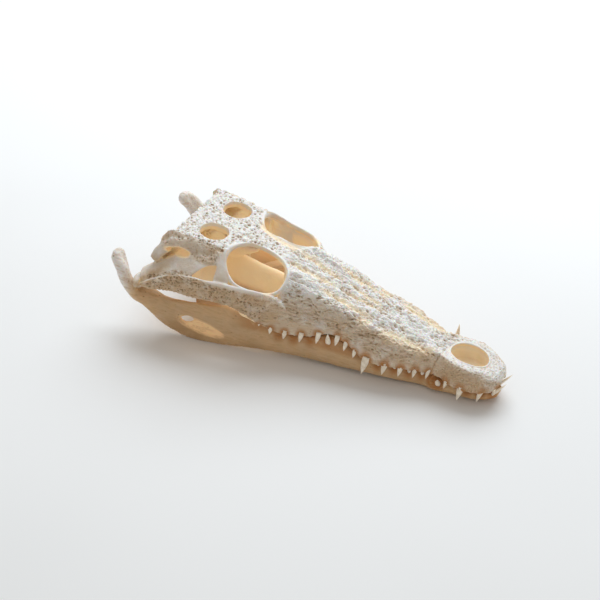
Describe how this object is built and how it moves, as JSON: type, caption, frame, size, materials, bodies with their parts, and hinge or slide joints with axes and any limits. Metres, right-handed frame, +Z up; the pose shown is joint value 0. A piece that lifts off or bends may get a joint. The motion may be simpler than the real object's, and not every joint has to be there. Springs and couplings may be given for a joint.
{
  "type": "crocodile skull with lower jaw",
  "caption": "Dry skull of a young crocodile with its lower jaw closed and its teeth in place, lying on its lower jaw as a still museum specimen.",
  "frame": {"origin": "on the resting surface, under the middle of the skull's bounding box", "axes": "+X towards the tip of the snout, +Y to the animal's left, +Z up from the resting surface; the line of the tooth margins falls 4.4 degrees towards the snout"},
  "size_m": [0.3516, 0.1398, 0.0956],
  "materials": {
    "cranium_bone": "dry matt bone, bleached on top, tan in the pits",
    "inner_bone": "smooth matt bone, tan to orange-brown",
    "jaw_bone": "matt beige-tan bone with a fine grain",
    "tooth": "satin, grey-beige with darker tips"
  },
  "bodies": {
    "root": {"premaxilla_left": "cranium_bone", "premaxilla_right": "cranium_bone", "maxilla_left": "cranium_bone", "maxilla_right": "cranium_bone", "jugal_left": "cranium_bone", "jugal_right": "cranium_bone", "quadrate_left": "cranium_bone", "quadrate_right": "cranium_bone", "dentary_left": "jaw_bone", "dentary_right": "jaw_bone", "angular_left": "jaw_bone", "angular_right": "jaw_bone", "articular_left": "jaw_bone", "articular_right": "jaw_bone", "frontal": "cranium_bone", "skull_table": "cranium_bone", "braincase": "inner_bone", "palate": "inner_bone"}
  },
  "joints": []
}
